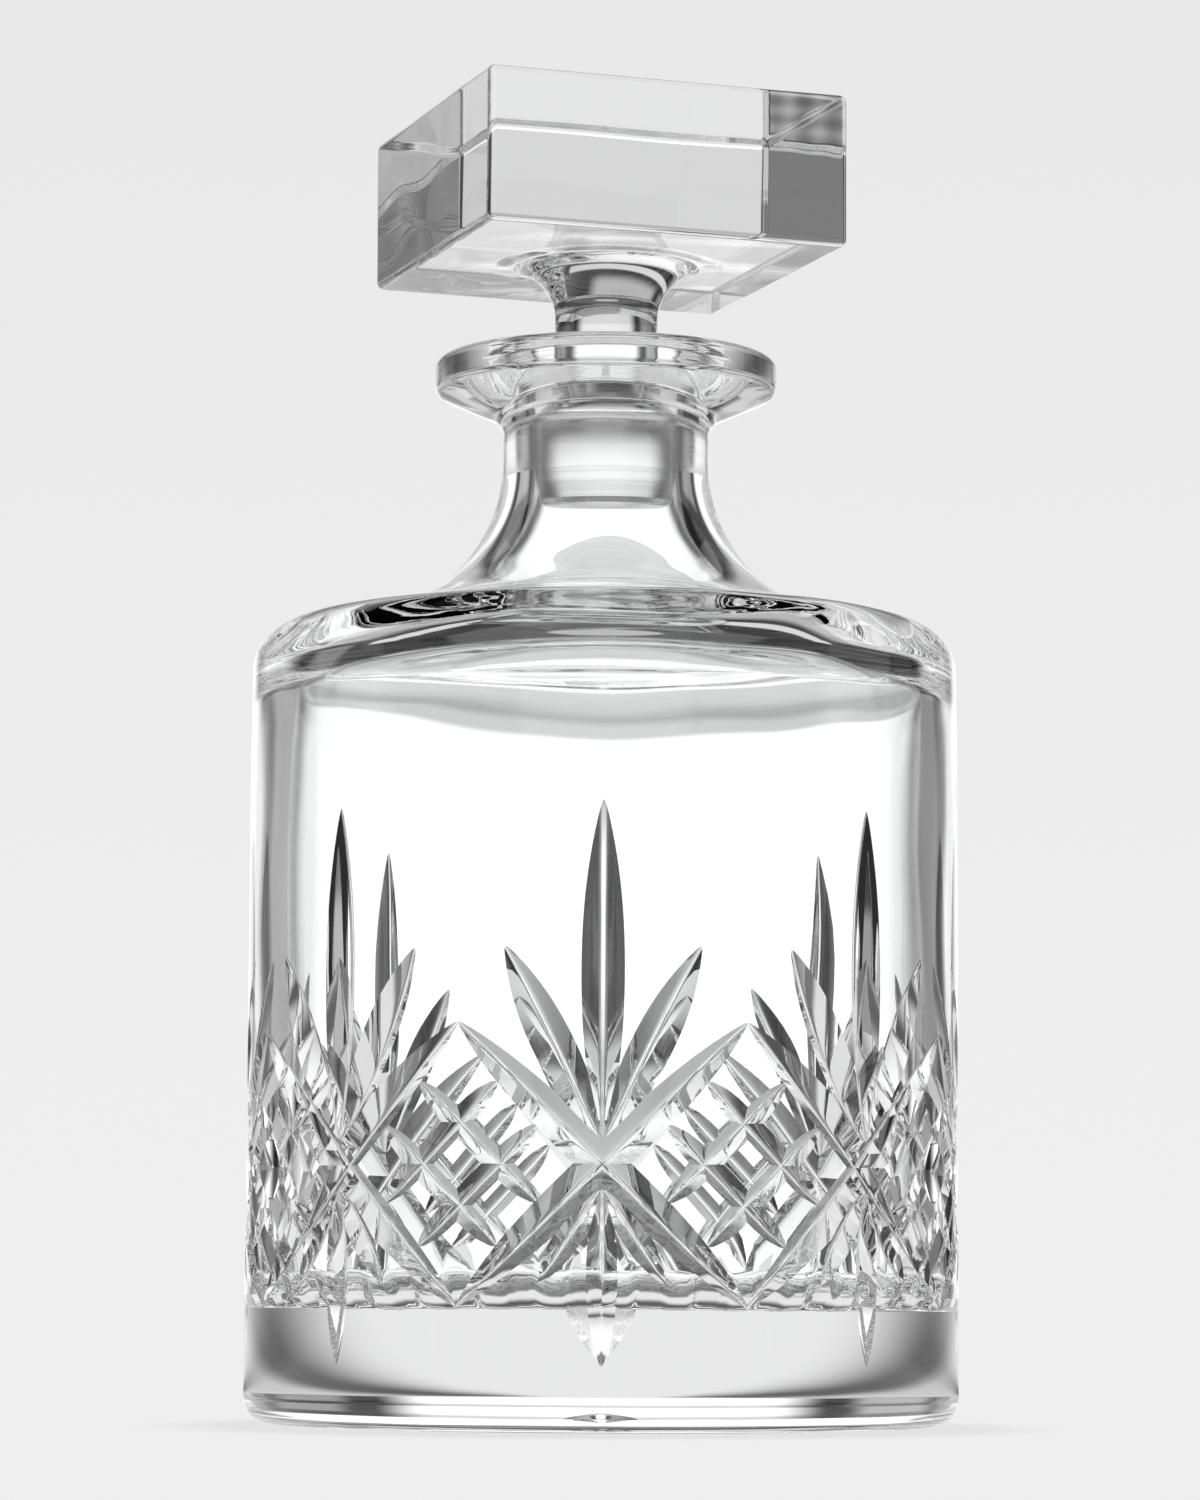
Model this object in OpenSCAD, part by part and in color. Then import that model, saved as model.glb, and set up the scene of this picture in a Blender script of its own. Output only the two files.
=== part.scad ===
// Round cut crystal decanter with a square block stopper.
// Two loose pieces of glass: the blown and cut bottle, and the solid stopper that is
// ground to fit its mouth. Origin: centre of the flat base. +Z up, millimetres.

/* [Bottle body] */
// Outside diameter of the body
body_d = 115; // [100:1:130]
// Height of the shoulder, where its rounded edge begins
shoulder_h = 129.5; // [118:0.1:145]
// Thickness of the side wall
wall_t = 6; // [5:0.1:8]
// Thickness of the solid glass base
base_t = 18.5; // [10:0.5:22]
// Thickness of the glass in the shoulder
roof_t = 5.6; // [4:0.1:8]
// Rounding where the side meets the base
foot_round = 4; // [2:0.1:6]
// Rounding where the side meets the shoulder
shoulder_round = 8; // [4:0.1:10]
// Fall of the shoulder towards its edge, in degrees
shoulder_fall = 8; // [4:0.5:12]
// Rounding of the hollow at its floor
floor_round = 6; // [3:0.5:10]
// Rounding of the hollow under the shoulder
ceiling_round = 9; // [6:0.5:14]

/* [Neck and lip] */
// Outside diameter of the neck
neck_d = 34.2; // [32:0.2:40]
// Radius of the sweep from neck to shoulder
neck_sweep = 25.7; // [20:0.1:28]
// Height of the bottle without its stopper
bottle_h = 173.6; // [170:0.1:190]
// Diameter of the lip
lip_d = 56.2; // [50:0.2:64]
// Thickness of the lip at its edge
lip_t = 6; // [4:0.1:8]
// Rounding of the lip's edges
lip_round = 1.6; // [0.6:0.1:2.4]
// Rise of the lip's underside, in degrees
lip_rise = 25; // [15:1:35]
// Radius between neck and lip
lip_hollow = 4; // [2:0.5:6]

/* [Ground joint] */
// Diameter of the bore at the lower end of the joint
bore_low_d = 23; // [18:0.2:25]
// Growth of the bore's diameter for each millimetre upwards
joint_taper = 0.1; // [0.06:0.01:0.12]
// Radial gap left for the ground faces
joint_gap = 0.05; // [0.02:0.01:0.1]
// Rounding of the mouth, as a bevel
mouth_bevel = 0.8; // [0.3:0.1:1.5]
// Depth of the plug's widest ring below the top of the lip
plug_seat = 5.2; // [3:0.1:8]
// Depth of the plug's lower end below the top of the lip
plug_reach = 26; // [20:0.5:32]
// Bevel at the plug's lower end
plug_bevel = 0.8; // [0.3:0.1:1.5]

/* [Stopper] */
// Side of the square block
block_side = 61.5; // [48:0.5:70]
// Thickness of the block
block_t = 25.4; // [16:0.2:32]
// Bevel along the block's edges
block_bevel = 1.4; // [0.6:0.1:2.5]
// Turn of the block from square with the cut pattern, in degrees
block_turn = 19.5; // [0:0.1:90]
// Gap between the block and the top of the lip
block_clear = 15.4; // [12:0.2:22]
// Diameter of the stopper's waist
waist_d = 17.2; // [13:0.2:19]
// Radius of the sweep from waist to block
waist_sweep = 9; // [6:0.5:11]

/* [Cut pattern] */
// Number of fans around the body
fans = 8; // [6:1:10]
// Height of the middle of the fans
fan_z = 40.4; // [36:0.2:50]
// Half height of the diamonds between the fans
diamond_h = 21.5; // [16:0.5:22]
// Width of the diagonal mitre cuts
arm_w = 6; // [3:0.1:7]
// Height of the upright leaf's tip
leaf_top = 95.5; // [80:0.5:105]
// Width of the upright leaf
leaf_w = 6.3; // [3:0.1:7]
// Height of the side leaves' tips
side_leaf_top = 73.3; // [66:0.1:80]
// Spread of each side leaf's tip, in degrees about the axis
side_leaf_spread = 15; // [8:0.5:18]
// Width of the side leaves
side_leaf_w = 6; // [3:0.1:7]
// Height of the lower leaf's tip
root_low = 10; // [6:0.5:14]
// Width of the lower leaf
root_w = 5; // [3:0.1:6]
// Height of the lower side leaves' tips
side_root_low = 22.4; // [18:0.2:26]
// Spread of each lower side leaf's tip, in degrees about the axis
side_root_spread = 9.5; // [6:0.5:12]
// Width of the lower side leaves
side_root_w = 4.4; // [2:0.1:5]
// Distance of the trellis cuts from the diamond's middle lines
trellis_step = 4.55; // [3:0.05:5.5]
// Width of the trellis cuts
trellis_w = 3.5; // [2:0.1:4.5]
// Angle between the two faces of each cut, in degrees
cut_angle = 96; // [90:1:130]

/* [Hidden] */
$fn = 96;

eps = 0.5;
body_r = body_d / 2;
neck_r = neck_d / 2;
lip_r = lip_d / 2;
bore_r = bore_low_d / 2;
waist_r = waist_d / 2;
hollow_r = body_r - wall_t;

// Heights along a sloping shoulder that starts at radius r0 and height z0.
function shoulder_z(r, r0, z0) = z0 + (r0 - r) * tan(shoulder_fall);
// Height of the centre of the sweep that joins that shoulder to a neck of radius nr.
function sweep_z(nr, sweep, r0, z0) =
    shoulder_z(nr + sweep, r0, z0) + sweep / cos(shoulder_fall);

// The hollow's shoulder runs parallel under the outside one.
hollow_r0 = hollow_r - ceiling_round;
hollow_z0 = shoulder_z(hollow_r0, body_r - shoulder_round, shoulder_h)
    - roof_t / cos(shoulder_fall);
hollow_sweep = neck_sweep + neck_r - bore_r - roof_t / 2;
joint_z = sweep_z(bore_r, hollow_sweep, hollow_r0, hollow_z0);
neck_z = sweep_z(neck_r, neck_sweep, body_r - shoulder_round, shoulder_h);

// Radius of the tapered bore at a height.
function bore_at(z) = bore_r + (z - joint_z) * joint_taper / 2;

plug_top_z = bottle_h - plug_seat;
plug_low_z = bottle_h - plug_reach;
// The plug follows the bore down to this height and narrows faster below it.
plug_turn_z = max(joint_z, plug_low_z + 2 * plug_bevel);
plug_top_r = bore_at(plug_top_z) - joint_gap;
plug_turn_r = bore_at(plug_turn_z) - joint_gap;
plug_low_r = plug_turn_r - (plug_turn_z - plug_low_z) * joint_taper;
block_z = bottle_h + block_clear;

// Share of its half length that each cutter reaches, past the cut's own tips.
run_out = 1.08;
half_pitch = 180 / fans;
meet = arm_w * 0.72;
half_w = body_r * sin(half_pitch);
trellis_lean = atan2(half_w, diamond_h);
trellis_reach = half_w * diamond_h / norm([half_w, diamond_h]) - arm_w / 2;

// One of a diamond's four trellis cuts, by the side that it leans to and its row.
function trellis_cut(side, row) =
    let (
        mid_x = row * trellis_step * cos(trellis_lean),
        mid_z = fan_z - side * row * trellis_step * sin(trellis_lean),
        run_x = side * trellis_reach * sin(trellis_lean),
        run_z = trellis_reach * cos(trellis_lean)
    ) [
        half_pitch + asin((mid_x - run_x) / body_r), mid_z - run_z,
        half_pitch + asin((mid_x + run_x) / body_r), mid_z + run_z,
        trellis_w
    ];

// The cuts of one fan as [angle, height, angle, height, width]. Each stands for a
// family that repeats around the body, and the cuts of one family never meet.
cuts = [
    for (side = [-1, 1])
        [-side * half_pitch, fan_z - diamond_h, side * half_pitch, fan_z + diamond_h, arm_w],
    [0, fan_z + meet, 0, leaf_top, leaf_w],
    [0, root_low, 0, fan_z - meet, root_w],
    for (side = [-1, 1])
        [0, fan_z + meet, side * side_leaf_spread, side_leaf_top, side_leaf_w],
    for (side = [-1, 1])
        [side * side_root_spread, side_root_low, 0, fan_z - meet, side_root_w],
    for (side = [-1, 1], row = [-1, 1])
        trellis_cut(side, row)
];

// Filled half outline of a round vessel: side, rounded corners, sloping shoulder and
// the sweep into its neck. Used for the outside and for the hollow.
module vessel_outline(side_r, low_z, low_round, top_round, edge_z, nr, sweep) {
    r0 = side_r - top_round;
    corner_z = edge_z - top_round / cos(shoulder_fall);
    sz = sweep_z(nr, sweep, r0, edge_z);
    sr = nr + sweep;
    translate([0, low_z]) square([side_r - low_round, low_round + eps]);
    translate([side_r - low_round, low_z + low_round]) circle(r = low_round);
    translate([0, low_z + low_round]) square([side_r, corner_z - low_z - low_round]);
    translate([r0, corner_z]) circle(r = top_round);
    difference() {
        polygon([
            [0, corner_z - eps],
            [r0, corner_z - eps],
            [r0, corner_z],
            [r0 + top_round * sin(shoulder_fall), corner_z + top_round * cos(shoulder_fall)],
            [sr - sweep * sin(shoulder_fall), sz - sweep * cos(shoulder_fall)],
            [sr, sz],
            [0, sz]
        ]);
        translate([sr, sz]) circle(r = sweep, $fn = 192);
    }
}

// Half outline of the neck above its sweep, and of the lip with its coned underside.
module lip_outline() {
    under_z = bottle_h - lip_t;
    cone_z = under_z - (lip_r - lip_round - neck_r) * tan(lip_rise);
    hollow_z = cone_z + lip_hollow * tan(lip_rise) - lip_hollow / cos(lip_rise);
    translate([0, neck_z - eps]) square([neck_r, hollow_z - neck_z + 2 * eps]);
    difference() {
        polygon([
            [0, hollow_z],
            [neck_r + lip_hollow, hollow_z],
            [neck_r + lip_hollow * (1 - sin(lip_rise)), hollow_z + lip_hollow * cos(lip_rise)],
            [lip_r - lip_round, under_z],
            [lip_r - lip_round, under_z + eps],
            [0, under_z + eps]
        ]);
        translate([neck_r + lip_hollow, hollow_z]) circle(r = lip_hollow);
    }
    translate([0, under_z]) square([lip_r - lip_round, lip_t]);
    translate([0, under_z + lip_round]) square([lip_r, lip_t - 2 * lip_round]);
    translate([lip_r - lip_round, under_z + lip_round]) circle(r = lip_round);
    translate([lip_r - lip_round, bottle_h - lip_round]) circle(r = lip_round);
}

// Half outline of the hollow and of the tapered mouth.
module hollow_outline() {
    vessel_outline(hollow_r, base_t, floor_round, ceiling_round, hollow_z0, bore_r,
        hollow_sweep);
    polygon([
        [0, joint_z - eps],
        [bore_r, joint_z - eps],
        [bore_r, joint_z],
        [bore_at(bottle_h - mouth_bevel), bottle_h - mouth_bevel],
        [bore_at(bottle_h) + mouth_bevel, bottle_h],
        [bore_at(bottle_h) + mouth_bevel, bottle_h + eps],
        [0, bottle_h + eps]
    ]);
}

// One V-shaped wheel cut between two points of the side, given by angle and height.
// It is deepest at its middle and runs out at both tips. The V's edge is a circle
// that lies in the cut's own plane, outside the glass or, on a steep slant, inside it.
module v_cut(a1, z1, a2, z2, width) {
    depth = width / 2 / tan(cut_angle / 2);
    across = 2 * body_r * sin((a2 - a1) / 2);
    half = norm([across, z2 - z1]) / 2;
    lean = atan2(across, z2 - z1);
    bend = 2 * depth / (half * half) - pow(sin(lean), 2) / body_r;
    wheel = 1 / abs(bend);
    outside = bend > 0 ? 1 : -1;
    tall = depth + half * half / body_r + 2;
    turn = 2 * asin(min(1, run_out * half / wheel));
    rotate([0, 0, (a1 + a2) / 2 - 90])
        translate([body_r - depth + outside * wheel, 0, (z1 + z2) / 2])
            rotate([lean, 0, 0])
                rotate([90, 0, outside > 0 ? 180 : 0])
                    rotate([0, 0, -turn / 2])
                        rotate_extrude(angle = turn, $fn = 180)
                            polygon([
                                [wheel, 0],
                                [wheel - outside * tall, tall * tan(cut_angle / 2)],
                                [wheel - outside * tall, -tall * tan(cut_angle / 2)]
                            ]);
}

// Takes away the first so many families of cuts, one family after another.
module carved(families) {
    if (families == 0) children();
    else difference() {
        carved(families - 1) children();
        for (i = [0 : fans - 1]) rotate([0, 0, i * 360 / fans]) {
            c = cuts[families - 1];
            v_cut(c[0], c[1], c[2], c[3], c[4]);
        }
    }
}

// The blown bottle with its cut pattern.
module bottle() {
    color("azure", 0.6)
        carved(len(cuts))
            rotate_extrude()
                difference() {
                    union() {
                        vessel_outline(body_r, 0, foot_round, shoulder_round, shoulder_h,
                            neck_r, neck_sweep);
                        lip_outline();
                    }
                    hollow_outline();
                }
}

// Rectangle about the middle of its base with its corners bevelled.
module bevelled(w, h, bevel) {
    polygon([
        [bevel - w / 2, 0], [w / 2 - bevel, 0], [w / 2, bevel], [w / 2, h - bevel],
        [w / 2 - bevel, h], [bevel - w / 2, h], [-w / 2, h - bevel], [-w / 2, bevel]
    ]);
}

// The solid square block that serves as the grip.
module block() {
    intersection() {
        translate([0, block_side / 2, 0]) rotate([90, 0, 0])
            linear_extrude(block_side) bevelled(block_side, block_t, block_bevel);
        rotate([0, 0, 90]) translate([0, block_side / 2, 0]) rotate([90, 0, 0])
            linear_extrude(block_side) bevelled(block_side, block_t, block_bevel);
        translate([0, -block_side / 2, 0])
            linear_extrude(block_t) bevelled(block_side, block_side, block_bevel);
    }
}

// The solid stopper: tapered ground plug, waist, sweep and block.
module stopper() {
    step = plug_top_r - waist_r;
    sweep_z = block_z - waist_sweep + 0.3;
    color("white", 0.6) {
        translate([0, 0, block_z]) rotate([0, 0, block_turn]) block();
        rotate_extrude() {
            polygon([
                [0, plug_low_z],
                [plug_low_r - plug_bevel, plug_low_z],
                [plug_low_r, plug_low_z + plug_bevel],
                [plug_turn_r, plug_turn_z],
                [plug_top_r, plug_top_z],
                [waist_r, plug_top_z],
                [waist_r, block_z + eps],
                [0, block_z + eps]
            ]);
            difference() {
                translate([0, plug_top_z - eps])
                    square([plug_top_r - 0.4, step + eps]);
                translate([waist_r + step, plug_top_z + step]) circle(r = step);
            }
            difference() {
                translate([0, sweep_z])
                    square([waist_r + waist_sweep, block_z - sweep_z + eps]);
                translate([waist_r + waist_sweep, sweep_z]) circle(r = waist_sweep);
            }
        }
    }
}

bottle();
stopper();
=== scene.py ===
import math

import bmesh
import bpy
import numpy as np
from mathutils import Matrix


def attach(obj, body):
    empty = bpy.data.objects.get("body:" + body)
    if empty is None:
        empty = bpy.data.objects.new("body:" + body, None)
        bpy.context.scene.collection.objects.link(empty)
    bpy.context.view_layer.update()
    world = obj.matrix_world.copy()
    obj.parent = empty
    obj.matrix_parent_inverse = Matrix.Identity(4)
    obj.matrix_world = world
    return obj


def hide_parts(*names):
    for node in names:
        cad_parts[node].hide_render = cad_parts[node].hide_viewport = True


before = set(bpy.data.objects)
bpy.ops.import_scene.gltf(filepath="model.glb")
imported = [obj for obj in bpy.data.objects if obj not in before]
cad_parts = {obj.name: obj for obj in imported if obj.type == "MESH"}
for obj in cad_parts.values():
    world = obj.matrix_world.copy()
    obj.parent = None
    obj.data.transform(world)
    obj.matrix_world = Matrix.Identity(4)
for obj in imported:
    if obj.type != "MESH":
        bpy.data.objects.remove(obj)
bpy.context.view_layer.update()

# The view: a long lens at table height, a little under a metre from the decanter, tilted
# up at it, so that the lip and the block are seen from below.
VIEW_PLACE = (-0.00024, -0.806, 0.0210)
VIEW_TILT = math.radians(6.25)
VIEW_ROLL = math.radians(-0.29)

camera = bpy.data.objects.new("view", bpy.data.cameras.new("view"))
bpy.context.scene.collection.objects.link(camera)
camera.data.sensor_width = 36
camera.data.lens = 119.04
camera.data.clip_start = 0.01
camera.location = VIEW_PLACE
camera.rotation_euler = (math.pi / 2 + VIEW_TILT, VIEW_ROLL, 0)
bpy.context.scene.camera = camera
bpy.context.scene.view_settings.view_transform = "Standard"
bpy.context.scene.cycles.max_bounces = 22
bpy.context.scene.cycles.transmission_bounces = 22
bpy.context.scene.cycles.glossy_bounces = 22


# The studio: a large lit sheet behind the decanter, pale flats around it and overhead,
# and a pale table top that runs on into the background. Bearings are degrees away from
# straight behind the decanter, and heights are degrees above the table.
ROOM_DARK = 0.015
BACKDROP = 0.80
BACKDROP_RISE = 0.06
TABLE_HALF = 30
TABLE_DROP = 0.0004
TABLE_PALE = 0.86
# The table's glow is held to this level as painted shade under the base.
TABLE_PAINTED_SHADE = 0.08
# A painted contact shadow darkens the pale table close round the base.
PAINTED_CONTACT_SHADE = 0.10
WHITE = (1, 1, 1, 1)


class Level:
    """A shader socket whose sums are written as plain Python."""

    def __init__(self, finish, socket):
        self.finish = finish
        self.socket = socket

    def sum(self, operation, *others):
        return self.finish.node("ShaderNodeMath", {"operation": operation}, [self, *others])

    def __add__(self, other):
        return self.sum("ADD", other)

    def __mul__(self, other):
        return self.sum("MULTIPLY", other)

    def __sub__(self, other):
        return self.sum("SUBTRACT", other)

    def __rsub__(self, other):
        return self.finish.node("ShaderNodeMath", {"operation": "SUBTRACT"}, [other, self])

    def __abs__(self):
        return self.sum("ABSOLUTE")

    __radd__ = __add__
    __rmul__ = __mul__


class Finish:
    """The nodes of one material, or of the light around the decanter."""

    def __init__(self, owner):
        owner.use_nodes = True
        self.tree = owner.node_tree
        self.tree.nodes.clear()

    def node(self, kind, settings=None, values=None, out=0):
        made = self.tree.nodes.new(kind)
        for name, value in (settings or {}).items():
            setattr(made, name, value)
        named = values.items() if isinstance(values, dict) else enumerate(values or [])
        for name, value in named:
            if isinstance(value, Level):
                self.tree.links.new(value.socket, made.inputs[name])
            else:
                made.inputs[name].default_value = value
        return Level(self, made.outputs[out]) if made.outputs else None

    def fade(self, value, start, end):
        """0 at start and 1 at end, with soft ends."""
        settings = {"interpolation_type": "SMOOTHSTEP"}
        ends = {"Value": value, "From Min": start, "From Max": end, "To Min": 0, "To Max": 1}
        if start > end:
            ends.update({"From Min": end, "From Max": start, "To Min": 1, "To Max": 0})
        return self.node("ShaderNodeMapRange", settings, ends)

    def between(self, value, start, full, fall, end):
        """1 from full to fall, with soft ends that reach 0 at start and at end."""
        return self.fade(value, start, full) * self.fade(value, end, fall)

    def axes(self, value):
        """The three parts of a place or direction."""
        return [self.node("ShaderNodeSeparateXYZ", values=[value], out=i) for i in range(3)]

    def bearing(self, x, y):
        """Degrees away from straight behind, up to 180 either way."""
        turn = self.node("ShaderNodeMath", {"operation": "ARCTAN2"}, [x, y])
        return turn * (180 / math.pi)


def studio_light():
    world = bpy.data.worlds.new("studio")
    bpy.context.scene.world = world
    f = Finish(world)
    way = f.node("ShaderNodeTexCoord", out=0)
    x, y, z = f.axes(way)
    bearing = f.bearing(x, y)
    off = abs(bearing)
    up = z.sum("ARCSINE") * (180 / math.pi)
    # The sheet behind is brightest low down and fades in steps towards its top.
    steps = 0.6 * f.fade(up, 12, 8) + 0.25 * f.fade(up, 22, 16) + 0.45 * f.fade(up, 38, 28)
    sheet = f.fade(off, 28, 18) * steps
    # Pale flats: low ones beside the sheet, one on the left, both wings, and the front.
    low = 0.28 * f.between(off, 31, 37, 50, 58) * f.fade(up, 12, 8)
    left = 0.17 * f.between(bearing, -60, -54, -36, -30)
    wings = 0.15 * f.fade(off, 60, 64) + 0.6 * f.between(off, 72, 76, 102, 106)
    front = 0.45 * f.fade(off, 150, 155)
    flats = f.fade(up, 36, 33) * (left + wings + front)
    # Overhead: a strip above the sheet and a soft ceiling.
    strip = 0.7 * f.between(up, 39, 41, 46, 48) * f.fade(off, 50, 47)
    ceiling = 0.08 * f.fade(up, 58, 61) + 0.4 * f.fade(up, 78, 80)
    lit = ROOM_DARK + sheet + low + flats + strip + ceiling
    seen = BACKDROP + BACKDROP_RISE * f.fade(up, 20, 0)
    direct = f.node("ShaderNodeLightPath", out=0)
    strength = direct * seen + (1 - direct) * lit
    sky = f.node("ShaderNodeBackground", values={"Color": WHITE, "Strength": strength})
    f.node("ShaderNodeOutputWorld", values=[sky])


studio_light()


def table_top():
    mesh = bpy.data.meshes.new("table_top")
    corners = [(-1, -1), (1, -1), (1, 1), (-1, 1)]
    verts = [(x * TABLE_HALF, y * TABLE_HALF, 0) for x, y in corners]
    mesh.from_pydata(verts, [], [(0, 1, 2, 3)])
    table = bpy.data.objects.new("table_top", mesh)
    bpy.context.scene.collection.objects.link(table)
    table.location.z = -TABLE_DROP
    # The table top is no lamp, yet it glows: its emission carries painted light and painted
    # shade.
    painted_light = bpy.data.materials.new("table_painted_light")
    f = Finish(painted_light)
    direct = f.node("ShaderNodeLightPath", out=0)
    place = f.node("ShaderNodeTexCoord", out=3)
    x, y, _ = f.axes(place)
    away = f.node("ShaderNodeVectorMath", {"operation": "LENGTH"}, [place], out=1)
    # The table's painted glow lights the glass most from behind, less from the sides and the
    # front, and most of all in a painted pool of light close to the decanter. The painted shade
    # under its base stays dark.
    off = abs(f.bearing(x, y - 0.25))
    far = 0.76 * f.fade(off, 64, 28) + 0.5 * f.fade(off, 72, 95)
    close = f.fade(away, 0.30, 0.10) * (0.45 + 0.55 * f.fade(y, -0.04, 0.10))
    outside_painted_shade = f.fade(away, 0.038, 0.048)
    lit = TABLE_PAINTED_SHADE + outside_painted_shade * (far + (1.1 - far) * close)
    # Seen straight on, the pale table carries a painted contact shadow close round the base.
    seen = TABLE_PALE - PAINTED_CONTACT_SHADE * f.fade(away, 0.078, 0.056)
    pale = f.node("ShaderNodeEmission", values={"Color": WHITE, "Strength": seen})
    under = f.node("ShaderNodeEmission", values={"Color": WHITE, "Strength": lit})
    both = f.node("ShaderNodeMixShader", values={0: direct, 1: under, 2: pale})
    f.node("ShaderNodeOutputMaterial", values=[both])
    mesh.materials.append(painted_light)


table_top()


# The bottle: one gather of lead crystal, blown into its round shape with a heavy base
# and a collared lip. The mouth is ground to a taper, and the fans and diamonds are cut
# into the outside with a V-edged wheel and polished with acid.
BODY_R = 57.5
SHOULDER_H = 129.5
SHOULDER_FALL = math.radians(8)
SHOULDER_ROUND = 8.0
FOOT_ROUND = 4.0
WALL = 6.0
BASE = 18.5
ROOF = 5.6
FLOOR_ROUND = 6.0
CEILING_ROUND = 9.0
NECK_R = 17.1
NECK_SWEEP = 25.7
MOUTH_H = 173.6
LIP_R = 28.1
LIP_T = 6.0
LIP_ROUND = 1.6
LIP_RISE = math.radians(25)
LIP_HOLLOW = 4.0
BORE_R = 11.5
BORE_TAPER = 0.05
MOUTH_ROUND = 0.8

FANS = 8
FAN_Z = 40.4
DIAMOND_H = 21.5
HALF_PITCH = math.pi / FANS
ARM_W = 6.1
LEAF_START = 3.0
LEAF_TOP = 95.5
LEAF_W = 6.6
SIDE_LEAF_TOP = 73.3
SIDE_LEAF_SPREAD = math.radians(15)
SIDE_LEAF_W = 6.4
ROOT_LOW = 10
ROOT_W = 4.8
SIDE_ROOT_LOW = 22.4
SIDE_ROOT_SPREAD = math.radians(9.5)
SIDE_ROOT_W = 4.2
TRELLIS_STEP = 4.55
TRELLIS_W = 3.7
TRELLIS_RUN = 0.8
# The higher the fullness, the longer a cut keeps its depth towards its tips.
ARM_FULLNESS = 3
LEAF_FULLNESS = 2.2
TRELLIS_FULLNESS = 5
CUT_SLOPE = 1 / math.tan(math.radians(48))
VALLEY_ROUND = 0.28

# The cut band is worked out flat for half a fan, in strips, on a blank of this thickness.
STRIPS = 16
BAND_LOW = 6.0
BAND_HIGH = 100.0
BLANK_T = 5
NEAR = 1e-4

# Waves in the fire-polished surface. A swell of this many waves stays below its peak.
SWELL_WAVES = 10
SWELL_PEAK = 3.2
REAM_STRETCH = 7
RIM_TABS = 34

# Points that share a place on this fine a grid are welded into one.
WELDS_PER_MM = 2e3
IOR = 1.54


def arc(r, z, radius, start, end, step, hollow=False):
    """Outline points (radius, height and the outward direction's two parts) on an arc."""
    count = max(2, math.ceil(abs(end - start) / step) + 1)
    turns = np.radians(np.linspace(start, end, count))
    side = -1 if hollow else 1
    cos, sin = np.cos(turns), np.sin(turns)
    return np.column_stack([r + radius * cos, z + radius * sin, side * cos, side * sin])


def line(r0, z0, r1, z1, step=6):
    """Outline points on a straight stretch, with the outward direction to its right."""
    long = math.hypot(r1 - r0, z1 - z0)
    count = max(2, math.ceil(long / step) + 1)
    share = np.linspace(0, 1, count)[:, None]
    across = np.array([(z1 - z0) / long, -(r1 - r0) / long])
    points = np.array([r0, z0]) + share * np.array([r1 - r0, z1 - z0])
    return np.hstack([points, np.tile(across, (count, 1))])


def underside(r, z, step):
    """Outline points of a flat underside, from its middle almost out to radius r."""
    return line(r, z, 0, z, step)[::-1][:-1] * np.array([1, 1, -1, -1])


def grid_faces(rows, steps):
    """Four-sided faces between rows of points that each close on themselves."""
    row, col = np.meshgrid(np.arange(rows - 1), np.arange(steps), indexing="ij")
    a = row * steps + col
    b = row * steps + (col + 1) % steps
    return np.stack([a, b, b + steps, a + steps], -1).reshape(-1, 4)


def round_mesh(outline, turns):
    """Points, outward directions and faces of an outline turned about Z."""
    cos, sin = np.cos(turns), np.sin(turns)
    r, z, nr, nz = (outline[:, i, None] for i in range(4))
    size = (len(r), len(turns))
    points = np.stack([r * cos, r * sin, np.broadcast_to(z, size)], -1)
    ways = np.stack([nr * cos, nr * sin, np.broadcast_to(nz, size)], -1)
    return points.reshape(-1, 3), ways.reshape(-1, 3), grid_faces(*size)


def shoulder_start(r0, edge_z, neck_r, sweep):
    """Height of the middle of the sweep between a falling shoulder and a neck."""
    rise = (r0 - neck_r - sweep) * math.tan(SHOULDER_FALL)
    return edge_z + rise + sweep / math.cos(SHOULDER_FALL)


FALL = math.degrees(SHOULDER_FALL)
SHOULDER_R0 = BODY_R - SHOULDER_ROUND
NECK_Z = shoulder_start(SHOULDER_R0, SHOULDER_H, NECK_R, NECK_SWEEP)
EDGE_Z = SHOULDER_H - SHOULDER_ROUND / math.cos(SHOULDER_FALL)
HOLLOW_R = BODY_R - WALL
HOLLOW_R0 = HOLLOW_R - CEILING_ROUND
HOLLOW_RISE = (SHOULDER_R0 - HOLLOW_R0) * math.tan(SHOULDER_FALL)
HOLLOW_TOP = SHOULDER_H + HOLLOW_RISE - ROOF / math.cos(SHOULDER_FALL)
HOLLOW_SWEEP = NECK_SWEEP + NECK_R - BORE_R - ROOF / 2
JOINT_Z = shoulder_start(HOLLOW_R0, HOLLOW_TOP, BORE_R, HOLLOW_SWEEP)
HOLLOW_EDGE_Z = HOLLOW_TOP - CEILING_ROUND / math.cos(SHOULDER_FALL)


def bore_at(z):
    return BORE_R + (z - JOINT_Z) * BORE_TAPER


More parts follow.
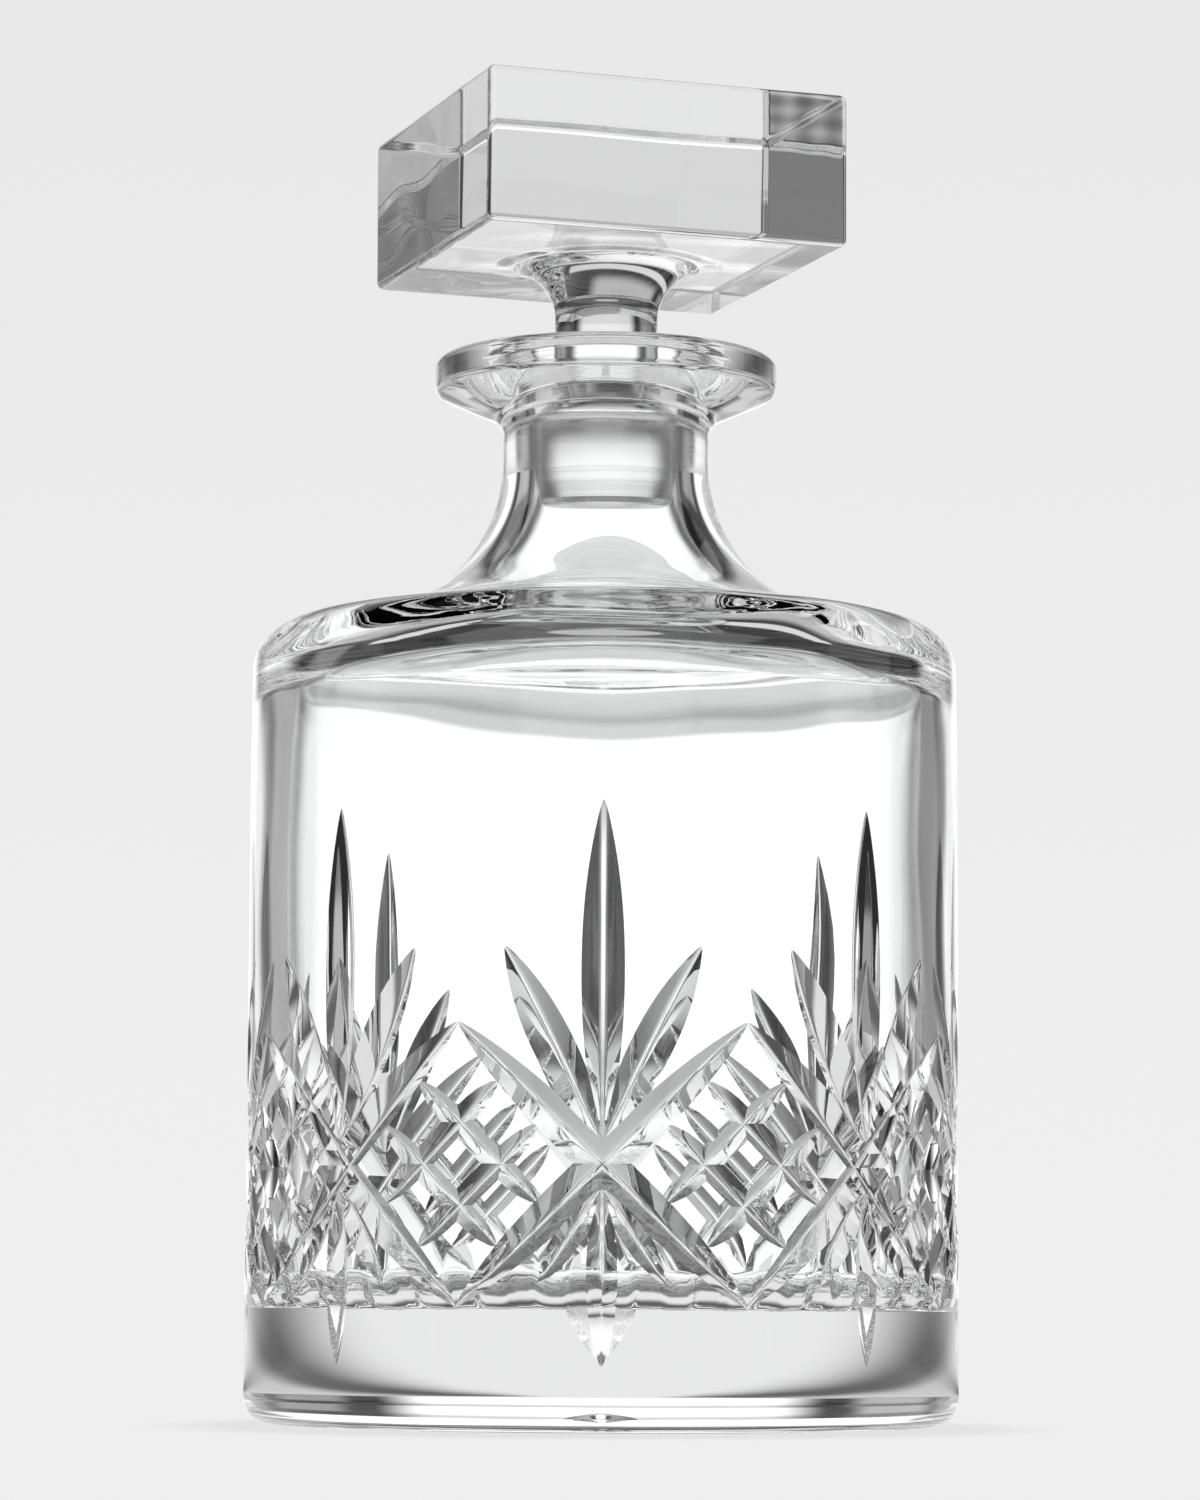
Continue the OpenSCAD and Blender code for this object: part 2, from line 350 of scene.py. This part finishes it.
def outside_above():
    """The outside from the top of the cut band up over the lip to the mouth."""
    under_z = MOUTH_H - LIP_T
    cone_z = under_z - (LIP_R - LIP_ROUND - NECK_R) * math.tan(LIP_RISE)
    hollow_z = cone_z + LIP_HOLLOW * math.tan(LIP_RISE) - LIP_HOLLOW / math.cos(LIP_RISE)
    rise = math.degrees(LIP_RISE)
    lip_edge = LIP_R - LIP_ROUND
    sweep_end = arc(NECK_R + NECK_SWEEP, NECK_Z, NECK_SWEEP, 262, 180, 3, hollow=True)
    shoulder = arc(SHOULDER_R0, EDGE_Z, SHOULDER_ROUND, 0, 90 - FALL, 5)
    lip_in = arc(NECK_R + LIP_HOLLOW, hollow_z, LIP_HOLLOW, 180, 90 + rise, 6, hollow=True)
    lip_low = arc(lip_edge, under_z + LIP_ROUND, LIP_ROUND, -90 + rise, 0, 12)
    mouth_r = bore_at(MOUTH_H - MOUTH_ROUND)
    return np.vstack([
        line(BODY_R, BAND_HIGH, BODY_R, EDGE_Z)[:-1],
        shoulder,
        line(*shoulder[-1, :2], *sweep_end[0, :2], 1.5)[1:-1],
        sweep_end,
        line(NECK_R, NECK_Z, NECK_R, hollow_z)[1:-1],
        lip_in,
        line(*lip_in[-1, :2], *lip_low[0, :2], 2)[1:-1],
        lip_low,
        arc(lip_edge, MOUTH_H - LIP_ROUND, LIP_ROUND, 0, 90, 12),
        line(lip_edge, MOUTH_H, mouth_r + MOUTH_ROUND, MOUTH_H, 3)[1:-1],
        arc(mouth_r + MOUTH_ROUND, MOUTH_H - MOUTH_ROUND, MOUTH_ROUND, 90, 180, 18),
    ])


def inside_below():
    """The inside from the lower end of the ground mouth down to the middle of the floor."""
    sweep = arc(BORE_R + HOLLOW_SWEEP, JOINT_Z, HOLLOW_SWEEP, 180, 262, 3)
    ceiling = arc(HOLLOW_R0, HOLLOW_EDGE_Z, CEILING_ROUND, 90 - FALL, 0, 6, hollow=True)
    floor = arc(HOLLOW_R - FLOOR_ROUND, BASE + FLOOR_ROUND, FLOOR_ROUND, 0, -90, 8, hollow=True)
    return np.vstack([
        sweep,
        line(*sweep[-1, :2], *ceiling[0, :2], 1.5)[1:-1],
        ceiling,
        line(HOLLOW_R, HOLLOW_EDGE_Z, HOLLOW_R, BASE + FLOOR_ROUND, 5)[1:-1],
        floor,
        line(HOLLOW_R - FLOOR_ROUND, BASE, 0, BASE, 5)[1:],
    ])


def outside_below():
    """The polished base and the rounded foot up to the bottom of the cut band."""
    return np.vstack([
        underside(BODY_R - FOOT_ROUND, 0, 8),
        arc(BODY_R - FOOT_ROUND, FOOT_ROUND, FOOT_ROUND, -90, 0, 8),
        line(BODY_R, FOOT_ROUND, BODY_R, BAND_LOW)[1:],
    ])


class Cut:
    """One straight V-shaped cut, in millimetres along and up the unrolled side."""

    def __init__(self, s0, z0, s1, z1, width, fullness):
        self.middle = np.array([(s0 + s1) / 2, (z0 + z1) / 2])
        run = np.array([s1 - s0, z1 - z0])
        self.half = np.linalg.norm(run) / 2
        self.along = run / (2 * self.half)
        self.across = np.array([-self.along[1], self.along[0]])
        self.depth = CUT_SLOPE * (math.hypot(width / 2, VALLEY_ROUND) - VALLEY_ROUND)
        self.fullness = fullness

    def height(self, points):
        """Height of the cut's surface over the unrolled side, below 0 in the glass."""
        a = (points - self.middle) @ self.along / self.half
        b = (points - self.middle) @ self.across
        sink = self.depth * (1 - np.abs(a) ** self.fullness)
        return CUT_SLOPE * (np.hypot(b, VALLEY_ROUND) - VALLEY_ROUND) - sink

    def solid(self):
        """A closed cutter mesh that stands out over the side."""
        spread = (self.depth + 0.7) / CUT_SLOPE + VALLEY_ROUND
        offsets = [-spread, -0.8, -0.45, -0.26, -0.12, 0, 0.12, 0.26, 0.45, 0.8, spread]
        reach = min(1.12, 1 + 1.5 / self.half)
        stations = max(13, int(self.half * 1.1))
        shares = np.linspace(-reach, reach, stations)
        wide = len(offsets)
        verts = []
        for share in shares:
            for b in offsets:
                p = self.middle + self.along * share * self.half + self.across * b
                verts.append((p[0], p[1], float(self.height(p))))
        faces = []
        for i in range(stations - 1):
            for j in range(wide):
                a0 = i * wide + j
                a1 = i * wide + (j + 1) % wide
                faces.append((a0, a1, a1 + wide, a0 + wide))
        faces.append(tuple(range(wide))[::-1])
        faces.append(tuple((stations - 1) * wide + j for j in range(wide)))
        mesh = bpy.data.meshes.new("cutter")
        mesh.from_pydata(verts, [], faces)
        shape = bmesh.new()
        shape.from_mesh(mesh)
        bmesh.ops.triangulate(shape, faces=shape.faces)
        bmesh.ops.recalc_face_normals(shape, faces=shape.faces)
        shape.to_mesh(mesh)
        shape.free()
        return mesh


def fan_cuts():
    """The cuts that touch the half of a fan between its middle and a diamond's middle."""
    width = BODY_R * HALF_PITCH
    low = FAN_Z - DIAMOND_H
    high = FAN_Z + DIAMOND_H
    cuts = [Cut(-side * width, low, side * width, high, ARM_W, ARM_FULLNESS) for side in (1, -1)]
    cuts.append(Cut(width, high, 3 * width, low, ARM_W, ARM_FULLNESS))
    cuts.append(Cut(width, low, 3 * width, high, ARM_W, ARM_FULLNESS))
    leaf_z = FAN_Z + LEAF_START
    root_z = FAN_Z - LEAF_START
    cuts.append(Cut(0, leaf_z, 0, LEAF_TOP, LEAF_W, LEAF_FULLNESS))
    cuts.append(Cut(0, root_z, 0, ROOT_LOW, ROOT_W, LEAF_FULLNESS))
    for side in (1, -1):
        tip = side * BODY_R * SIDE_LEAF_SPREAD
        cuts.append(Cut(0, leaf_z, tip, SIDE_LEAF_TOP, SIDE_LEAF_W, LEAF_FULLNESS))
        tip = side * BODY_R * SIDE_ROOT_SPREAD
        cuts.append(Cut(0, root_z, tip, SIDE_ROOT_LOW, SIDE_ROOT_W, LEAF_FULLNESS))
    lean = math.atan2(width, DIAMOND_H)
    reach = width * DIAMOND_H / math.hypot(width, DIAMOND_H) - ARM_W / 2 + TRELLIS_RUN
    for side in (1, -1):
        run_s = side * reach * math.sin(lean)
        run_z = reach * math.cos(lean)
        for row in (1, -1):
            s = width + row * TRELLIS_STEP * math.cos(lean)
            z = FAN_Z - side * row * TRELLIS_STEP * math.sin(lean)
            ends = (s - run_s, z - run_z, s + run_s, z + run_z)
            cuts.append(Cut(*ends, TRELLIS_W, TRELLIS_FULLNESS))
    return cuts


def band_blank(width):
    """A closed slab of the unrolled side, its outer face at height 0."""
    edges = np.linspace(0, width, STRIPS + 1)
    verts = [(s, z, x) for x in (0, -BLANK_T) for z in (BAND_LOW, BAND_HIGH) for s in edges]
    n = STRIPS + 1
    faces = []
    for i in range(STRIPS):
        faces.append((i, i + 1, n + i + 1, n + i))
        faces.append((2 * n + i + 1, 2 * n + i, 3 * n + i, 3 * n + i + 1))
        faces.append((i + 1, i, 2 * n + i, 2 * n + i + 1))
        faces.append((n + i, n + i + 1, 3 * n + i + 1, 3 * n + i))
    faces.append((0, n, 3 * n, 2 * n))
    faces.append((n - 1, 3 * n - 1, 4 * n - 1, 2 * n - 1))
    mesh = bpy.data.meshes.new("band_blank")
    mesh.from_pydata(verts, [], faces)
    slab = bpy.data.objects.new("band_blank", mesh)
    bpy.context.scene.collection.objects.link(slab)
    return slab


def carved_blank(width, cuts):
    """Points and triangles of the blank with every cut taken out of it."""
    slab = band_blank(width)
    tools = []
    for cut in cuts:
        tool = bpy.data.objects.new("cutter", cut.solid())
        bpy.context.scene.collection.objects.link(tool)
        tools.append(tool)
        step = slab.modifiers.new("cut", "BOOLEAN")
        step.operation = "DIFFERENCE"
        step.solver = "MANIFOLD"
        step.object = tool
    whole = slab.evaluated_get(bpy.context.evaluated_depsgraph_get()).to_mesh()
    shape = bmesh.new()
    shape.from_mesh(whole)
    bmesh.ops.triangulate(shape, faces=shape.faces)
    points = np.array([v.co for v in shape.verts], float)
    tris = np.array([[v.index for v in f.verts] for f in shape.faces])
    shape.free()
    for tool in tools:
        bpy.data.objects.remove(tool)
    bpy.data.objects.remove(slab)
    return points, tris


def outer_face(width, points, tris):
    """Sets points on shared edges exactly and drops the blank's back and its four sides."""
    snap = np.round(points[:, 0] / (width / STRIPS)) * (width / STRIPS)
    near = np.abs(points[:, 0] - snap) < 10 * NEAR
    points[near, 0] = snap[near]
    for end in (BAND_LOW, BAND_HIGH):
        points[np.abs(points[:, 1] - end) < NEAR, 1] = end
    points[np.abs(points[:, 2]) < NEAR / 10, 2] = 0
    corners = points[tris]
    dropped = (
        (corners[:, :, 2] < 0.1 - BLANK_T).all(1)
        | (corners[:, :, 0] < NEAR / 100).all(1)
        | (corners[:, :, 0] > width - NEAR / 100).all(1)
        | (corners[:, :, 1] < BAND_LOW + NEAR).all(1)
        | (corners[:, :, 1] > BAND_HIGH - NEAR).all(1)
    )
    return points, tris[~dropped]


def cut_slopes(points, tris, cuts):
    """Slope along and up the side at each triangle's corners, from the cut that made it."""
    middle = points[tris].mean(1)
    heights = np.array([np.zeros(len(tris))] + [cut.height(middle[:, :2]) for cut in cuts])
    owner = np.argmin(np.abs(heights - middle[:, 2]), axis=0)
    owner[np.abs(middle[:, 2]) < NEAR] = 0
    owners = np.repeat(owner, 3)
    corners = points[tris].reshape(-1, 3)
    middles = np.repeat(middle, 3, axis=0)
    slope = np.zeros((len(corners), 2))
    step = 0.01
    for index, cut in enumerate(cuts, 1):
        mine = owners == index
        at = corners[mine, :2]
        inward = at + (middles[mine, :2] - at) * 0.02
        for axis in (0, 1):
            shift = np.zeros(2)
            shift[axis] = step
            rise = cut.height(inward + shift) - cut.height(inward - shift)
            slope[mine, axis] = rise / (2 * step)
    return slope


def cut_band():
    """Points, directions and faces of the cut band, all round the body."""
    width = BODY_R * HALF_PITCH
    cuts = fan_cuts()
    points, tris = outer_face(width, *carved_blank(width, cuts))
    return wrap_band(points, tris, cut_slopes(points, tris, cuts))


def wrap_band(points, tris, slope):
    """Wraps the half fan round the body, with its mirror image, once for each fan."""
    all_points, all_ways, all_faces = [], [], []
    corners = points[tris.reshape(-1)]
    count = 0
    for turn in range(FANS):
        for side in (1, -1):
            angle = side * corners[:, 0] / BODY_R + turn * 2 * HALF_PITCH - math.pi / 2
            r = BODY_R + corners[:, 2]
            cos, sin = np.cos(angle), np.sin(angle)
            place = np.column_stack([r * cos, r * sin, corners[:, 1]])
            tangent = -side * slope[:, 0] * BODY_R / r
            way = np.column_stack([
                cos - tangent * sin,
                sin + tangent * cos,
                -slope[:, 1],
            ])
            way /= np.linalg.norm(way, axis=1)[:, None]
            face = np.arange(len(corners)).reshape(-1, 3) + count
            if side < 0:
                face = face[:, ::-1]
            all_points.append(place)
            all_ways.append(way)
            all_faces.append(face)
            count += len(corners)
    return np.vstack(all_points), np.vstack(all_ways), np.vstack(all_faces)


def rippled(points, ways, height):
    """Moves points out by a small height and turns their directions to suit."""
    step = 0.05
    grade = np.zeros_like(points)
    for axis in range(3):
        shift = np.zeros(3)
        shift[axis] = step
        grade[:, axis] = (height(points + shift) - height(points - shift)) / (2 * step)
    grade -= (grade * ways).sum(1)[:, None] * ways
    turned = ways - grade
    turned /= np.linalg.norm(turned, axis=1)[:, None]
    return points + ways * height(points)[:, None], turned


def swell(points, seed, length):
    """A smooth random height, mostly between -1 and 1, with waves of a given length."""
    rng = np.random.default_rng(seed)
    total = np.zeros(len(points))
    for _ in range(SWELL_WAVES):
        way = rng.normal(size=points.shape[1])
        way /= np.linalg.norm(way)
        turns = rng.uniform(0.7, 1.4) * 2 * math.pi / length
        total += np.sin(points @ way * turns + rng.uniform(0, 2 * math.pi))
    return total / math.sqrt(SWELL_WAVES)


def reams(points, seed, length):
    """Random height like swell, drawn out into streaks that run round the axis."""
    r = np.hypot(points[:, 0], points[:, 1])
    spun = np.column_stack([points[:, :2] / REAM_STRETCH, r, points[:, 2]])
    return swell(spun, seed, length)


def soft_step(x, start, end):
    """0 up to start and 1 from end on, with soft ends."""
    share = np.clip((x - start) / (end - start), 0, 1)
    return share * share * (3 - 2 * share)


def glass_piece(name, parts, finishes):
    """Joins parts of (points, directions, faces, finish number) into one closed mesh."""
    points, ways, faces, marks = [], [], [], []
    count = 0
    for part_points, part_ways, part_faces, mark in parts:
        points.append(part_points)
        ways.append(part_ways)
        faces += (part_faces + count).tolist()
        marks += [mark] * len(part_faces)
        count += len(part_points)
    points = np.vstack(points)
    ways = np.vstack(ways)
    keys = np.round(points * WELDS_PER_MM).astype(np.int64)
    _, first, same = np.unique(keys, axis=0, return_index=True, return_inverse=True)
    same = same.reshape(-1)
    clean_faces, clean_ways, clean_marks = [], [], []
    for face, mark in zip(faces, marks):
        merged = same[face].tolist()
        pairs = [(v, f) for i, (v, f) in enumerate(zip(merged, face)) if v != merged[i - 1]]
        if len({v for v, _ in pairs}) >= 3:
            clean_faces.append([v for v, _ in pairs])
            clean_ways += [ways[f] for _, f in pairs]
            clean_marks.append(mark)
    mesh = bpy.data.meshes.new(name)
    mesh.from_pydata((points[first] * 0.001).tolist(), [], clean_faces)
    for finish in finishes:
        mesh.materials.append(finish)
    mesh.polygons.foreach_set("material_index", clean_marks)
    mesh.polygons.foreach_set("use_smooth", [True] * len(clean_faces))
    mesh.normals_split_custom_set(clean_ways)
    piece = bpy.data.objects.new(name, mesh)
    bpy.context.scene.collection.objects.link(piece)
    return piece


def crystal(name):
    """Clear polished lead crystal with faint uneven flow in its surface."""
    made = bpy.data.materials.new(name)
    f = Finish(made)
    place = f.node("ShaderNodeTexCoord", out=3)
    waves = {"Vector": place, "Scale": 45, "Detail": 1.0}
    flow = f.node("ShaderNodeTexNoise", values=waves)
    depth = {"Strength": 1.0, "Distance": 0.00002, "Height": flow}
    bump = f.node("ShaderNodeBump", values=depth)
    look = {
        "Base Color": (0.985, 0.99, 0.99, 1),
        "Roughness": 0.0,
        "IOR": IOR,
        "Transmission Weight": 1.0,
        "Normal": bump,
    }
    glass = f.node("ShaderNodeBsdfPrincipled", values=look)
    f.node("ShaderNodeOutputMaterial", values=[glass])
    return made


def ground_crystal(name):
    """Satin crystal left by the grinding cone, with fine rings round the joint."""
    made = bpy.data.materials.new(name)
    f = Finish(made)
    place = f.node("ShaderNodeTexCoord", out=3)
    up = f.axes(place)[2]
    rings = f.node("ShaderNodeVectorMath", {"operation": "MULTIPLY"}, [place, (40, 40, 3000)])
    marks = f.node("ShaderNodeTexNoise", values={"Vector": rings, "Scale": 1.0, "Detail": 3.0})
    depth = {"Strength": 0.25, "Distance": 0.0001, "Height": marks}
    bump = f.node("ShaderNodeBump", values=depth)
    # The satin fades to clear glass towards the top of the joint.
    look = {
        "Base Color": (0.97, 0.97, 0.97, 1),
        "Roughness": (0.08 + 0.16 * marks) * f.fade(up, 0.1655, 0.1600),
        "IOR": IOR,
        "Transmission Weight": 1.0,
        "Normal": bump,
    }
    glass = f.node("ShaderNodeBsdfPrincipled", values=look)
    f.node("ShaderNodeOutputMaterial", values=[glass])
    return made


def outer_flow(p):
    """Ripples of the outside, only inwards, from above the cut band up to the lip."""
    up = soft_step(p[:, 2], BAND_HIGH + 2, BAND_HIGH + 20)
    calm = 1 - soft_step(p[:, 2], MOUTH_H - 8, MOUTH_H - 2)
    edge = soft_step(p[:, 2], 122, 127) * (1 - soft_step(p[:, 2], 133, 138))
    flow = 0.04 * up * (swell(p, 3, 22) - SWELL_PEAK)
    return calm * (flow + 0.03 * edge * (reams(p, 5, 7) - SWELL_PEAK))


def inner_flow(p):
    """Ripples of the hollow, strongest at its ceiling, and small tabs round its floor."""
    calm = 1 - soft_step(p[:, 2], 128, 136)
    ceiling = soft_step(p[:, 2], 108, 117)
    floor = 1 - soft_step(p[:, 2], 22, 34)
    even = (0.05 + 0.07 * ceiling + 0.05 * floor) * swell(p, 8, 26)
    angle = np.arctan2(p[:, 1], p[:, 0])
    rim = (1 - soft_step(p[:, 2], 20, 25)) * soft_step(np.hypot(p[:, 0], p[:, 1]), 44, 49)
    tabs = 0.35 * rim * np.tanh(2.5 * np.sin(RIM_TABS * angle))
    return calm * (even + tabs + 0.03 * ceiling * reams(p, 6, 7))


def bottle():
    steps = STRIPS * 2 * FANS
    turns = np.arange(steps) * 2 * math.pi / steps - math.pi / 2
    lower = (*round_mesh(outside_below(), turns), 0)
    band = (*cut_band(), 0)
    points, ways, faces = round_mesh(outside_above(), turns)
    upper = (*rippled(points, ways, outer_flow), faces, 0)
    ground = line(bore_at(MOUTH_H - MOUTH_ROUND), MOUTH_H - MOUTH_ROUND, BORE_R, JOINT_Z, 3)
    joint = (*round_mesh(ground, turns), 1)
    points, ways, faces = round_mesh(inside_below(), turns)
    inner = (*rippled(points, ways, inner_flow), faces, 0)
    finishes = [crystal("bottle_crystal"), ground_crystal("bottle_ground")]
    made = glass_piece("bottle_glass", [lower, band, upper, joint, inner], finishes)
    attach(made, "bottle")
    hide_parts("bottle")


bottle()


# The stopper: one solid pressing of the same crystal. A square polished block stands on
# a swept waist and a short tapered plug, which is ground to fit the bottle's mouth.
BLOCK_HALF = 30.75
BLOCK_T = 25.4
BLOCK_ROUND = 1.4
BLOCK_TURN = math.radians(19.5)
BLOCK_Z = 189.0
WAIST_R = 8.6
WAIST_SWEEP = 9.0
PLUG_TOP = 168.4
PLUG_LOW = 147.6
PLUG_BEVEL = 0.8
JOINT_GAP = 0.05
# The block's underside cuts the sweep off this far below where it would run level.
FLARE_SHORT = 0.3

# Points along a side and round a corner of the block, and rings over its faces.
SIDE_POINTS = 44
CORNER_POINTS = 6
UNDER_RINGS = 15
EDGE_RINGS = 6
SIDE_RINGS = 19
TOP_RINGS = 23


def square_ring(inset):
    """Points and outward directions of the block's outline, drawn in by inset."""
    half = BLOCK_HALF - BLOCK_ROUND
    radius = BLOCK_ROUND - inset
    points, ways = [], []
    for quarter in range(4):
        turn = quarter * math.pi / 2
        base = np.array([[math.cos(turn), -math.sin(turn)], [math.sin(turn), math.cos(turn)]])
        for share in np.linspace(-1, 1, SIDE_POINTS + 1)[:-1]:
            points.append(base @ (half + radius, share * half))
            ways.append(base @ (1, 0))
        for share in np.linspace(0, 1, CORNER_POINTS):
            way = np.array([math.cos(share * math.pi / 2), math.sin(share * math.pi / 2)])
            points.append(base @ (half + radius * way))
            ways.append(base @ way)
    return np.array(points), np.array(ways)


def block_mesh(angles, rim):
    """The block, ring by ring from the waist's rim over its faces to the top's middle."""
    side, side_ways = square_ring(0)
    inner, inner_ways = square_ring(BLOCK_ROUND)
    circle = np.column_stack([np.cos(angles), np.sin(angles)]) * rim
    rings = []
    for share in np.linspace(0, 1, UNDER_RINGS):
        rings.append((circle * (1 - share) + inner * share, BLOCK_Z, inner_ways, -1))
    for turn in np.radians(np.linspace(0, 90, EDGE_RINGS)):
        outline, ways = square_ring(BLOCK_ROUND * (1 - math.sin(turn)))
        z = BLOCK_Z + BLOCK_ROUND * (1 - math.cos(turn))
        rings.append((outline, z, ways, -math.cos(turn)))
    for share in np.linspace(0, 1, SIDE_RINGS)[1:-1]:
        z = BLOCK_Z + BLOCK_ROUND + share * (BLOCK_T - 2 * BLOCK_ROUND)
        rings.append((side, z, side_ways, 0))
    for turn in np.radians(np.linspace(0, 90, EDGE_RINGS)):
        outline, ways = square_ring(BLOCK_ROUND * (1 - math.cos(turn)))
        z = BLOCK_Z + BLOCK_T - BLOCK_ROUND * (1 - math.sin(turn))
        rings.append((outline, z, ways, math.sin(turn)))
    for share in np.linspace(1, 0, TOP_RINGS)[1:]:
        rings.append((inner * share, BLOCK_Z + BLOCK_T, inner_ways, 1))
    points, ways = [], []
    for outline, z, outward, rise in rings:
        flat = math.sqrt(max(0, 1 - rise * rise))
        points.append(np.hstack([outline, np.full((len(angles), 1), float(z))]))
        ways.append(np.hstack([outward * flat, np.full((len(angles), 1), float(rise))]))
    return np.vstack(points), np.vstack(ways), grid_faces(len(rings), len(angles))


def stopper_parts():
    """The plug, its ground cone, the waist and the block, with their finish numbers."""
    ring, _ = square_ring(0)
    angles = np.arctan2(ring[:, 1], ring[:, 0])
    sweep_z = BLOCK_Z - WAIST_SWEEP + FLARE_SHORT
    flare_end = math.degrees(math.asin((WAIST_SWEEP - FLARE_SHORT) / WAIST_SWEEP))
    plug_r = BORE_R - JOINT_GAP
    low_r = plug_r - (JOINT_Z - PLUG_LOW) * 2 * BORE_TAPER
    top_r = bore_at(PLUG_TOP) - JOINT_GAP
    step = top_r - WAIST_R
    flare = arc(WAIST_R + WAIST_SWEEP, sweep_z, WAIST_SWEEP, 180, 180 - flare_end, 5, hollow=True)
    rim = flare[-1, 0]
    smooth = np.vstack([
        underside(low_r - PLUG_BEVEL, PLUG_LOW, 4),
        line(low_r - PLUG_BEVEL, PLUG_LOW, low_r, PLUG_LOW + PLUG_BEVEL),
    ])
    ground = np.vstack([
        line(low_r, PLUG_LOW + PLUG_BEVEL, plug_r, JOINT_Z),
        line(plug_r, JOINT_Z, top_r, PLUG_TOP),
    ])
    waist = np.vstack([
        arc(WAIST_R + step, PLUG_TOP + step, step, 270, 180, 15, hollow=True),
        line(WAIST_R, PLUG_TOP + step, WAIST_R, sweep_z, 3)[1:-1],
        flare,
    ])

    def block_flow(p):
        """Ripples of the waist and the block, only inwards, and none where they meet."""
        there = soft_step(p[:, 2], PLUG_TOP + 3, PLUG_TOP + 8)
        r = np.hypot(p[:, 0], p[:, 1])
        there = there * soft_step(np.hypot(r - rim, p[:, 2] - BLOCK_Z), 0, 4)
        return 0.05 * there * (swell(p, 21, 24) - SWELL_PEAK)

    cos, sin = math.cos(BLOCK_TURN), math.sin(BLOCK_TURN)
    spin = np.array([[cos, -sin, 0], [sin, cos, 0], [0, 0, 1]])
    meshes = [round_mesh(outline, angles) for outline in (smooth, ground, waist)]
    meshes.append(block_mesh(angles, rim))
    parts = []
    for (points, ways, faces), finish in zip(meshes, (0, 1, 0, 0)):
        points, ways = rippled(points, ways, block_flow)
        parts.append((points @ spin.T, ways @ spin.T, faces, finish))
    return parts


def stopper():
    finishes = [crystal("stopper_crystal"), ground_crystal("stopper_ground")]
    made = glass_piece("stopper_glass", stopper_parts(), finishes)
    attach(made, "stopper")
    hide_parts("stopper")


stopper()
